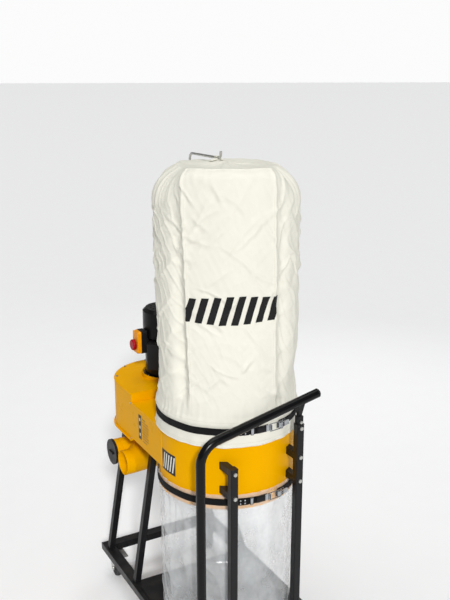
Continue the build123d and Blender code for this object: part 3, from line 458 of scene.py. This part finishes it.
def shoulder(turn):
    """Width, height and level of the rounded top edge: tight over the front panel, slack elsewhere."""
    ahead = wrap(turn - FRONT)
    front = ease(np.cos(ahead), 0.50, 0.90)
    back = ease(-np.cos(ahead), 0.1, 0.9)
    wobble = waves(turn, 0.0, 91, 5, (2, 7), (0, 1)) * (1 - front)
    wide = 0.112 - 0.076 * front - 0.036 * back + 0.010 * wobble
    high = 0.112 - 0.078 * front - 0.040 * back + 0.008 * wobble
    level = 0.922 + 0.008 * front + 0.002 * back + 0.003 * wobble
    return wide, high, level


def add_filter_bag(look):
    """The hung bag as one grid: skirt, wall, rounded edge and top panel. Returns the wall's points."""
    turn = np.linspace(0, tau, BAG_COLUMNS, endpoint=False)[None, :]
    t = np.linspace(0, 0.999, BAG_ROWS)[:, None]
    wide, high, level = shoulder(turn)
    straight = level - high
    wall = np.minimum(t / WALL_SHARE, 1) * straight
    rim = bag_radius(turn + 0 * t, wall)
    bend = np.clip((t - WALL_SHARE) / CORNER_SHARE, 0, 1) * pi / 2
    seam = 2.4 * MM * bell(bend - 1.30, 0.12) * (t > WALL_SHARE)
    crumple = waves(turn, bend * 0.1, 101, 8, (5, 19), (2, 20)) * np.sin(bend) * np.sin(bend * 2) * 3 * MM
    radius = rim - wide * (1 - np.cos(bend)) + seam + crumple
    height = wall + high * np.sin(bend) + seam + crumple
    inward = np.clip((t - WALL_SHARE - CORNER_SHARE) / (1 - WALL_SHARE - CORNER_SHARE), 0, 1)
    radius = radius * (1 - inward)
    x, y = radius * np.cos(turn), radius * np.sin(turn)
    sag = np.sin(pi * np.minimum(inward * 1.15, 1)) * (6 + 3 * waves(turn, inward, 111, 5, (2, 5), (2, 5)))
    pleat = 3.0 * buckles(turn, inward * 0.3, 121, (5, 13), (6, 20), 1.4) * np.sin(pi * inward) ** 0.8
    peak = bell(np.hypot(x - (LOOP_X - RING_X), y), 0.035)
    flat = BAG_TOP * inward + level * (1 - inward)
    height = np.where(inward > 0, height + (flat - level) + (pleat - sag) * MM + 4 * MM * peak, height)
    points = np.stack([RING_X + x, RING_Y + y, HEM_Z + height], axis=-1)
    faces = grid_faces(BAG_ROWS, BAG_COLUMNS)
    faces.append(tuple(range((BAG_ROWS - 1) * BAG_COLUMNS, BAG_ROWS * BAG_COLUMNS)))
    piece = make_piece("filter_bag_cloth", points.reshape(-1, 3), faces, look)
    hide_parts("filter_bag")
    return points[:int(BAG_ROWS * WALL_SHARE)]


def on_bag(surface, turn, height, lift):
    """Point on the made bag at an angle and a height over the hem, lifted off the cloth."""
    column = (turn % tau) / tau * BAG_COLUMNS
    low = int(column) % BAG_COLUMNS
    part = column - int(column)
    ring = surface[:, low] * (1 - part) + surface[:, (low + 1) % BAG_COLUMNS] * part
    z = HEM_Z + height
    x = np.interp(z, ring[:, 2], ring[:, 0]) - RING_X
    y = np.interp(z, ring[:, 2], ring[:, 1]) - RING_Y
    grow = 1 + lift / hypot(x, y)
    return (RING_X + x * grow, RING_Y + y * grow, z)


def add_bag_print(surface, look):
    """Generic printed motif: a row of slanted bars that shorten towards both ends."""
    bars, pitch, width = 8, 42 * MM, 25 * MM
    middle_turn, middle_height, slant = radians(-24.5), 0.474, 0.30
    across_steps, up_steps = 14, 48
    points, faces = [], []
    for bar in range(bars):
        from_middle = bar - (bars - 1) / 2
        half = (50 - 3.0 * abs(from_middle)) * MM
        first = len(points)
        for up in range(up_steps + 1):
            rise = -half + 2 * half * up / up_steps
            for side in range(across_steps + 1):
                shift = from_middle * pitch + width * (side / across_steps - 0.5) + rise * slant
                points.append(on_bag(surface, middle_turn + shift / RING_R, middle_height + rise, 1.2 * MM))
        for up in range(up_steps):
            for side in range(across_steps):
                a = first + up * (across_steps + 1) + side
                faces.append((a, a + 1, a + across_steps + 2, a + across_steps + 1))
    make_piece("bag_print", points, faces, look)


def add_stitches(surface, look):
    """Sewing thread: dashes beside each crease, round the bead and round the hem."""
    dash, pitch, half = 4.2 * MM, 6.5 * MM, 0.45 * MM
    runs = []
    for panel in range(PANELS):
        for aside in (-0.0075, 0.0075):
            heights = np.arange(CREASE_LOW, CREASE_HIGH, pitch)
            drift = DRIFT * (0.5 - heights / BAG_TOP)
            turns = CREASE_START + panel * tau / PANELS + drift + aside / RING_R
            runs += [((turn, h), (turn, h + dash)) for turn, h in zip(turns, heights)]
    for level in (0.014, BEAD_HEIGHT + 0.010):
        for turn in np.arange(0, tau, pitch / RING_R):
            runs.append(((turn, level), (turn + dash / RING_R, level)))
    points, faces = [], []
    for start, end in runs:
        a, b = (Vector(on_bag(surface, *place, 0.25 * MM)) for place in (start, end))
        along = (b - a).normalized()
        out = Vector((a.x - RING_X, a.y - RING_Y, 0)).normalized()
        side = along.cross(out) * half
        first = len(points)
        for place, thick in ((a, 0.3), ((a + b) / 2, 1.0), (b, 0.3)):
            points += [place - side, place + out * half * 2 * thick, place + side]
        for step in (0, 3):
            faces.append((first + step, first + step + 1, first + step + 4, first + step + 3))
            faces.append((first + step + 1, first + step + 2, first + step + 5, first + step + 4))
    make_piece("bag_stitches", points, faces, look)


def tube_ring(name, path, radius, look, sides):
    """Closed round cord along a ring of points."""
    count = len(path)
    points = []
    for index, place in enumerate(path):
        ahead = (Vector(path[(index + 1) % count]) - Vector(path[index - 1])).normalized()
        out = Vector((place[0] - RING_X, place[1] - RING_Y, 0)).normalized()
        up = ahead.cross(out).normalized()
        for side in range(sides):
            turn = tau * side / sides
            points.append(Vector(place) + out * radius * cos(turn) + up * radius * sin(turn))
    faces = []
    for index in range(count):
        for side in range(sides):
            a, b = index * sides + side, index * sides + (side + 1) % sides
            c = (index + 1) % count * sides
            faces.append((a, b, c + (side + 1) % sides, c + side))
    return make_piece(name, points, faces, look)


def add_hem(surface, look):
    """Rolled hem at the skirt's lower edge."""
    path = [on_bag(surface, turn, 0.0015, 0.3 * MM) for turn in np.linspace(0, tau, 360, endpoint=False)]
    tube_ring("bag_hem", path, 1.7 * MM, look, 8)


def add_loop(look):
    """Crumpled hanging loop, bunched round the hanger's rod."""
    width, columns, rows = 0.026, 18, 60
    points = []
    for row in range(rows):
        s = row / (rows - 1) * 2 - 1
        spread = 0.9 - abs(s)
        y = s * 0.026 - 0.016 * sin(pi * s)
        lift = 0.0155 * float(ease(spread + 0.1, 0.0, 0.8))
        for column in range(columns):
            c = column / (columns - 1) - 0.5
            pinch = 1 - 0.45 * float(bell(s, 0.5))
            pucker = 1.8 * MM * sin(c * 26 + 3 * s) * (1 - abs(s) * 0.5)
            edge = 1.2 * MM * sin(9 * s + 5 * c)
            points.append((LOOP_X + c * width * pinch + edge, RING_Y + y,
                           BAG_TOP + HEM_Z - 0.001 + lift + pucker * 0.5 + 0.0005))
    piece = make_piece("bag_loop_cloth", points, grid_faces(rows, columns, False), look)
    solid = piece.modifiers.new("thickness", "SOLIDIFY")
    solid.thickness = 1.4 * MM
    solid.offset = 1
    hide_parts("bag_loop")


# ---- Straps ----
STRAP_GAP, STRAP_THICK = 5.5 * MM, 1.7 * MM
STRAP_START, STRAP_END = radians(15), radians(4) + tau
LAP_TURNS = radians(-34), radians(-12)
SLIDE_TURNS = radians(-10.5), radians(-8.3)
BLOCK_TURNS = radians(-5.5), radians(2.0)
RIVET_TURNS = radians(-15), radians(-18.5)
RIVET_R, RIVET_HIGH = 3.2 * MM, 1.5 * MM


def band(turn_low, turn_high, level, radius, height, thick, steps, seed):
    """Points and faces of a webbing band with soft rounded edges and a slight ripple."""
    profile = [(-0.5, 0), (-0.47, 1), (-0.2, 1.12), (0.2, 1.12), (0.47, 1), (0.5, 0),
               (0.3, -0.05), (-0.3, -0.05)]
    source = np.random.default_rng(seed)
    shifts = source.uniform(0, tau, 3)
    points = []
    for step in range(steps + 1):
        turn = turn_low + (turn_high - turn_low) * step / steps
        sway = 0.5 * MM * (sin(7 * turn + shifts[0]) + sin(13 * turn + shifts[1]))
        for up, out in profile:
            r = radius + thick * out + 0.25 * MM * sin(41 * turn + shifts[2] + up * 3)
            points.append((RING_X + r * cos(turn), RING_Y + r * sin(turn), level + sway + up * height))
    faces = grid_faces(steps + 1, len(profile))
    faces += [tuple(range(len(profile))), tuple(range(steps * len(profile), (steps + 1) * len(profile)))]
    return points, faces


def add_strap(level_name, low, high, web, steel, plastic):
    """Webbing strap with a doubled end, rivets, a wire slide and a plastic end block."""
    level, height = (low[2] + high[2]) / 2, high[2] - low[2]
    inside, thick = RING_R + STRAP_GAP, STRAP_THICK
    start, end = STRAP_START, STRAP_END
    points, faces = band(start, end, level, inside, height, thick, 520, 5)
    piece = make_piece(f"{level_name}_strap_web", points, faces, web)
    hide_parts(f"{level_name}_strap")
    over_web = inside + thick
    doubled, more = band(*LAP_TURNS, level, over_web + 0.4 * MM, height * 0.96, thick, 60, 9)
    lap = make_piece(f"{level_name}_strap_lap", doubled, more, web)
    rivets, rivet_faces = [], []
    for turn in RIVET_TURNS:
        for up in (-0.22, 0.22):
            out = inside + 2 * thick + 1.0 * MM
            centre = Vector((RING_X + out * cos(turn), RING_Y + out * sin(turn), level + up * height))
            dome(rivets, rivet_faces, centre, Vector((cos(turn), sin(turn), 0)), RIVET_R, RIVET_HIGH)
    make_piece(f"{level_name}_strap_rivets", rivets, rivet_faces, steel)
    clip, clip_faces = band(*SLIDE_TURNS, level, over_web, height * 1.16, 3.0 * MM, 6, 3)
    make_piece(f"{level_name}_strap_slide", clip, clip_faces, steel)
    block, block_faces = band(*BLOCK_TURNS, level, over_web, height * 0.9, 4.2 * MM, 16, 4)
    make_piece(f"{level_name}_strap_block", block, block_faces, plastic)


def dome(points, faces, centre, out, radius, height, rings=4, sides=16):
    """Adds a rounded rivet or screw head to lists of points and faces."""
    right = out.cross(Vector((0, 0, 1))).normalized() if abs(out.z) < 0.9 else Vector((1, 0, 0))
    up = right.cross(out).normalized()
    first = len(points)
    for ring in range(rings):
        bend = pi / 2 * ring / rings
        r, h = radius * cos(bend), height * sin(bend)
        for side in range(sides):
            turn = tau * side / sides
            points.append(centre + out * h + right * r * cos(turn) + up * r * sin(turn))
    points.append(centre + out * height)
    tip = len(points) - 1
    for ring in range(rings - 1):
        for side in range(sides):
            a = first + ring * sides + side
            b = first + ring * sides + (side + 1) % sides
            faces.append((a, b, b + sides, a + sides))
    last = first + (rings - 1) * sides
    faces += [(last + side, last + (side + 1) % sides, tip) for side in range(sides)]


# ---- Chip bag ----
def add_chip_bag(look):
    """Clear bag: gathered under its strap, hanging straight, slumped on the base plate."""
    columns, rows = ((420, 240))
    low, high = CHIP_LOW[2] + 1.0 * MM, CHIP_HIGH[2]
    strap_low, strap_high = LOWER_STRAP_LOW[2], LOWER_STRAP_HIGH[2]
    turn = np.linspace(0, tau, columns, endpoint=False)[None, :]
    t = np.linspace(0, 0.999, rows)[:, None]
    wall_share = 0.82
    drop = np.clip(t / wall_share, 0, 1)
    height = high - drop * (high - low - 0.045)
    held = ease(height, strap_low - 0.045, strap_low - 0.002)
    above = ease(height, strap_high + 0.002, strap_high + 0.014)
    gather = waves(turn, height, 201, 9, (18, 52), (3, 14))
    pleats = waves(turn, height, 211, 6, (5, 15), (2, 9))
    crinkle = buckles(turn, height, 221, (3, 12), (16, 40), 1.5) - 0.3
    radius = 254.3 * held + (247.5 - 3.0 * ease(-height, -0.45, -0.2)) * (1 - held)
    loose = (2.6 * pleats + 4.2 * crinkle + 2.0 * gather * ease(height, 0.50, 0.66)) * (1 - held)
    loose = np.minimum(loose, 6.0)
    radius = radius + loose + above * (1.6 * gather + 0.9) + 0.35 * gather * held * (1 - above)
    floor_turn = np.clip((t - wall_share) / (1 - wall_share), 0, 1)
    bend = np.minimum(floor_turn / 0.4, 1) * pi / 2
    radius = radius - 45 * (1 - np.cos(bend))
    inward = np.clip((floor_turn - 0.4) / 0.6, 0, 1)
    crumple = np.maximum(3 * waves(turn, inward, 231, 6, (4, 14), (4, 16)), 0) * np.sin(pi * inward)
    height = np.where(t > wall_share, low + 0.045 * (1 - np.sin(bend)) + crumple * MM, height)
    radius = radius * (1 - inward) * MM
    points = np.stack([RING_X + radius * np.cos(turn), RING_Y + radius * np.sin(turn), height], axis=-1)
    faces = grid_faces(rows, columns)
    faces.append(tuple(range((rows - 1) * columns, rows * columns)))
    piece = make_piece("chip_bag_film", points.reshape(-1, 3), faces, look)
    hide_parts("chip_bag")


# ---- Plates and seams on the painted steel ----
PLATE_T, MARK_T, LINE_T = 0.5 * MM, 0.2 * MM, 0.15 * MM
RING_PLATE_TURNS = radians(-96), radians(-75)
RING_PLATE_LOW, RING_PLATE_HIGH = HEM_Z - 0.150, HEM_Z - 0.072
STRIPES, STRIPE_HALF = 5, radians(0.8)
DUCT_PLATE_W, DUCT_PLATE_H = 0.024, 0.098
MARKS, MARK_PITCH = 3, 0.030
LINE_LENGTH, LINE_H, LINE_PITCH = 0.058, 0.0026, 0.011
LINE_SHARES = (0.5, 0.9, 1.0, 0.94, 1.0, 0.86, 1.0, 0.95, 0.7)
WELD_R = 1.8 * MM


def flat_plate(name, origin, right, up, width, height, thick, look):
    """Thin rounded plate on a flat wall."""
    right, up = Vector(right), Vector(up)
    out = right.cross(up)
    outline = []
    corner = min(width, height) * 0.08
    for cx, cy, begin in ((1, 1, 0), (-1, 1, 90), (-1, -1, 180), (1, -1, 270)):
        for step in range(5):
            turn = radians(begin + 90 * step / 4)
            outline.append((cx * (width / 2 - corner) + corner * cos(turn),
                            cy * (height / 2 - corner) + corner * sin(turn)))
    origin = Vector(origin)
    points = [origin + right * x + up * y for x, y in outline]
    points += [origin + right * x + up * y + out * thick for x, y in outline]
    count = len(outline)
    faces = [(k, (k + 1) % count, count + (k + 1) % count, count + k) for k in range(count)]
    faces.append(tuple(range(count, 2 * count)))
    return make_piece(name, points, faces, look, smooth=False)


def ring_patch(name, turns, levels, lift, look):
    """Thin sheet bent round the ring between two angles and two heights."""
    points = []
    for turn in np.linspace(*turns, 17):
        for level in levels:
            points.append((RING_X + (RING_R + lift) * cos(turn), RING_Y + (RING_R + lift) * sin(turn), level))
    return make_piece(name, points, grid_faces(17, 2, False), look)


def add_ring_plate(dark, pale):
    """Generic dark plate on the ring with slanting light stripes."""
    low, high = RING_PLATE_LOW, RING_PLATE_HIGH
    ring_patch("ring_plate", RING_PLATE_TURNS, (low, high), PLATE_T, dark)
    for index in range(STRIPES):
        turn = radians(-93 + 3.6 * index)
        first, second = (low + 0.008, turn), (high - 0.008, turn + radians(2.6))
        points = []
        for step in range(9):
            share = step / 8
            level = first[0] + (second[0] - first[0]) * share
            middle = first[1] + (second[1] - first[1]) * share
            for side in (-STRIPE_HALF, STRIPE_HALF):
                r = RING_R + 0.8 * MM
                points.append((RING_X + r * cos(middle + side), RING_Y + r * sin(middle + side), level))
        make_piece(f"ring_plate_stripe_{index}", points, grid_faces(9, 2, False), pale)


def add_plates(dark, pale):
    """Generic dark plate with three light marks on the duct, and plain dark lines beside it."""
    wall, middle = DUCT_LOW[1], (DUCT_LOW[2] + DUCT_HIGH[2]) / 2
    right, up = (1, 0, 0), (0, 0, 1)
    x = DUCT_LOW[0] + 0.080
    plate_at = (x, wall, middle + 0.004)
    flat_plate("duct_plate", plate_at, right, up, DUCT_PLATE_W, DUCT_PLATE_H, PLATE_T, dark)
    for index in range(MARKS):
        mark_at = (x, wall - PLATE_T, middle - 0.026 + MARK_PITCH * index)
        flat_plate(f"duct_plate_mark_{index}", mark_at, right, up, 0.010, 0.012, MARK_T, pale)
    for index, share in enumerate(LINE_SHARES):
        length = LINE_LENGTH * share
        line_at = (x + 0.022 + length / 2, wall, middle + 0.044 - LINE_PITCH * index)
        flat_plate(f"duct_plate_line_{index}", line_at, right, up, length, LINE_H, LINE_T, dark)


def seam_bead(name, path, radius, look):
    """Open round bead of sealant or weld along a path, slightly uneven."""
    points, faces, sides = [], [], 8
    for index, place in enumerate(path):
        before, after = path[max(index - 1, 0)], path[min(index + 1, len(path) - 1)]
        ahead = (Vector(after) - Vector(before)).normalized()
        side = ahead.cross(Vector((0, 0, 1)))
        side = side.normalized() if side.length > 0.1 else Vector((1, 0, 0))
        up = side.cross(ahead).normalized()
        r = radius * (1 + 0.12 * sin(index * 1.9) + 0.08 * sin(index * 0.7))
        turns = [tau * k / sides for k in range(sides)]
        points += [Vector(place) + side * r * cos(turn) + up * r * sin(turn) for turn in turns]
    faces = grid_faces(len(path), sides)
    faces += [tuple(range(sides)), tuple(range(len(points) - sides, len(points)))]
    return make_piece(name, points, faces, look)


def add_seams(look):
    """Weld beads where the duct meets the ring."""
    reach = RING_R + 0.4 * MM
    for name, y in (("near", DUCT_LOW[1]), ("far", DUCT_HIGH[1])):
        depth = y - RING_Y
        x = RING_X - (reach ** 2 - min(abs(depth), reach - 0.002) ** 2) ** 0.5
        heights = np.linspace(DUCT_LOW[2] + 0.003, DUCT_HIGH[2] - 0.003, 70)
        seam_bead(f"duct_weld_{name}", [(x, y, z) for z in heights], WELD_R, look)
    for name, z in (("low", DUCT_LOW[2]), ("top", DUCT_HIGH[2])):
        path = []
        for y in np.linspace(max(DUCT_LOW[1], RING_Y - reach + 0.002), DUCT_HIGH[1], 60):
            path.append((RING_X - (reach ** 2 - (y - RING_Y) ** 2) ** 0.5, y, z))
        seam_bead(f"duct_weld_{name}", path, WELD_R, look)


def add_cover_edge(look):
    """Rolled edge round the outline of the fan's cover."""
    corners = np.array([vertex.co[:] for vertex in frame["nodes"]["fan_cover"].data.vertices])
    fan_x, fan_y = ((low + high) / 2 for low, high in list(zip(*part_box("motor_shell")))[:2])
    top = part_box("fan_housing")[1][2]
    reach = np.hypot(corners[:, 0] - fan_x, corners[:, 1] - fan_y)
    rim = corners[(np.abs(corners[:, 2] - top) < 0.3 * MM) & (reach > 0.13)]
    turns = np.arctan2(rim[:, 1] - fan_y, rim[:, 0] - fan_x)
    path = []
    for x, y, z in rim[np.argsort(turns)]:
        if not path or hypot(x - path[-1][0], y - path[-1][1]) > 4 * MM:
            path.append((x, y, z))
    seam_bead("cover_edge", path + path[:1], 1.9 * MM, look)


def main():
    made = {name: build() for name, build in MATERIALS.items()}
    add_studio()
    paint_frame(made)
    surface = add_filter_bag(made["filter_cloth"])
    ink = cloth("print_ink", (0.014, 0.014, 0.014), 1.6 * MM, 0.08 * MM, 0.05, 0.15)
    thread = material("sewing_thread", (0.62, 0.59, 0.48), 0.8, spread=0.08, grain=1500, depth=0.03)
    pale_ink = material("pale_ink", (0.75, 0.74, 0.68), 0.5, spread=0.05)
    add_bag_print(surface, ink)
    add_stitches(surface, thread)
    add_hem(surface, made["filter_cloth"])
    add_loop(made["filter_cloth"])
    add_chip_bag(made["chip_film"])
    straps = (("upper", STRAP_LOW, STRAP_HIGH), ("lower", LOWER_STRAP_LOW, LOWER_STRAP_HIGH))
    for level_name, low, high in straps:
        add_strap(level_name, low, high, made["strap_web"], made["bright_steel"], made["black_plastic"])
    add_plates(made["black_plastic"], pale_ink)
    add_ring_plate(made["black_plastic"], pale_ink)
    add_seams(made["body_yellow"])
    add_cover_edge(made["body_yellow"])


add_camera()
main()
